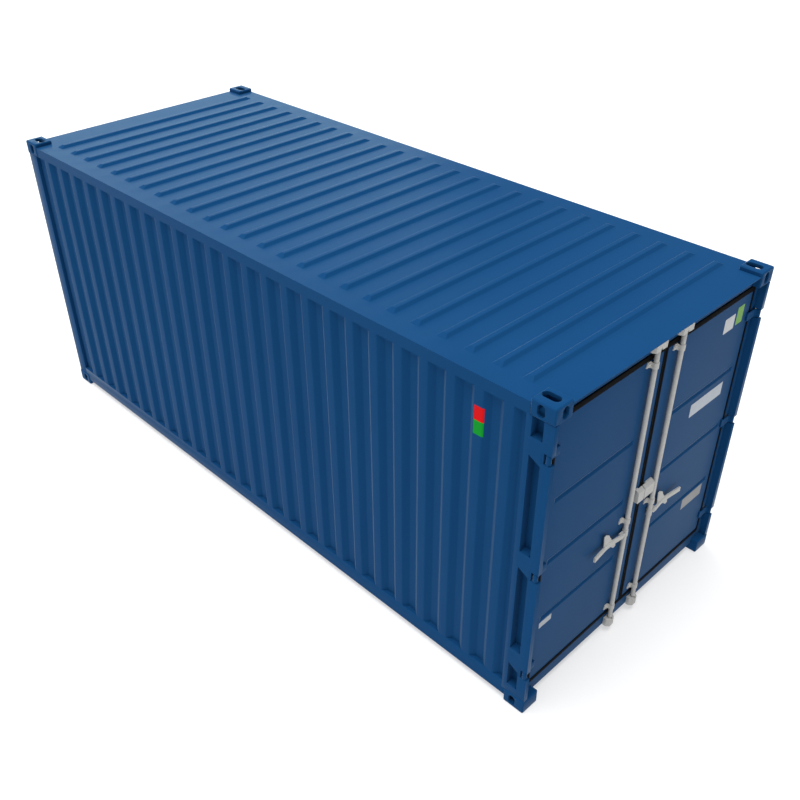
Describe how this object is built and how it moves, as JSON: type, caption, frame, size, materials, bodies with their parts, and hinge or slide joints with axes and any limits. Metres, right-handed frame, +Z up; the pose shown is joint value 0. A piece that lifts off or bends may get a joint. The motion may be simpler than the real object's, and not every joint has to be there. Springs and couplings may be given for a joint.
{
  "type": "shipping container",
  "caption": "Steel freight and storage container with corrugated walls, a ribbed roof, corner castings and hinged end doors held by locking bars.",
  "frame": {"origin": "on the ground under the middle of the box", "axes": "+X along the box towards the doors, +Y to the right when facing the doors, +Z up"},
  "size_m": [6.058, 2.438, 2.591],
  "materials": {
    "blue_paint": "gloss",
    "lock_gear": "satin",
    "hinge_pin": "bright",
    "door_seal": "matt",
    "floor_board": "matt"
  },
  "bodies": {
    "frame": {"bar_keepers": "lock_gear", "cross_members": "blue_paint", "door_header": "blue_paint", "door_sill": "blue_paint", "end_bottom_rail": "blue_paint", "end_top_rail": "blue_paint", "end_wall": "blue_paint", "floor": "floor_board", "hinge_pins": "hinge_pin", "left_bottom_side_rail": "blue_paint", "left_door_casting_low": "blue_paint", "left_door_casting_top": "blue_paint", "left_door_post": "blue_paint", "left_end_casting_low": "blue_paint", "left_end_casting_top": "blue_paint", "left_end_post": "blue_paint", "left_side_wall": "blue_paint", "left_top_side_rail": "blue_paint", "right_bottom_side_rail": "blue_paint", "right_door_casting_low": "blue_paint", "right_door_casting_top": "blue_paint", "right_door_post": "blue_paint", "right_end_casting_low": "blue_paint", "right_end_casting_top": "blue_paint", "right_end_post": "blue_paint", "right_side_wall": "blue_paint", "right_top_side_rail": "blue_paint", "roof": "blue_paint"},
    "left_door": {"left_door_panel": "blue_paint", "left_door_frame": "blue_paint", "left_door_gasket": "door_seal", "left_hinge_blades": "blue_paint", "left_bar_brackets": "lock_gear", "left_lock_box": "lock_gear"},
    "left_bar": {"left_locking_bar": "lock_gear"},
    "left_handle": {"left_handle": "lock_gear"},
    "right_door": {"right_door_panel": "blue_paint", "right_door_frame": "blue_paint", "right_door_gasket": "door_seal", "right_hinge_blades": "blue_paint", "right_bar_brackets": "lock_gear", "right_lock_box": "lock_gear"},
    "right_bar": {"right_locking_bar": "lock_gear"},
    "right_handle": {"right_handle": "lock_gear"}
  },
  "joints": [
    {"name": "left_door_hinge", "type": "hinge", "parent": "frame", "child": "left_door", "pos_m": [3, -1.2, 1.298], "axis": [0, 0, -1], "range_deg": [0, 265]},
    {"name": "right_door_hinge", "type": "hinge", "parent": "frame", "child": "right_door", "pos_m": [3, 1.2, 1.298], "axis": [0, 0, 1], "range_deg": [0, 265]},
    {"name": "left_bar_turn", "type": "hinge", "parent": "left_door", "child": "left_bar", "pos_m": [2.995, -0.152, 0.996], "axis": [0, 0, -1], "range_deg": [-95, 0]},
    {"name": "right_bar_turn", "type": "hinge", "parent": "right_door", "child": "right_bar", "pos_m": [2.995, 0.152, 0.996], "axis": [0, 0, 1], "range_deg": [-95, 0]},
    {"name": "left_handle_lift", "type": "hinge", "parent": "left_bar", "child": "left_handle", "pos_m": [2.998, -0.196, 0.996], "axis": [-1, 0, 0], "range_deg": [0, 20]},
    {"name": "right_handle_lift", "type": "hinge", "parent": "right_bar", "child": "right_handle", "pos_m": [2.998, 0.196, 0.996], "axis": [1, 0, 0], "range_deg": [0, 20]}
  ]
}
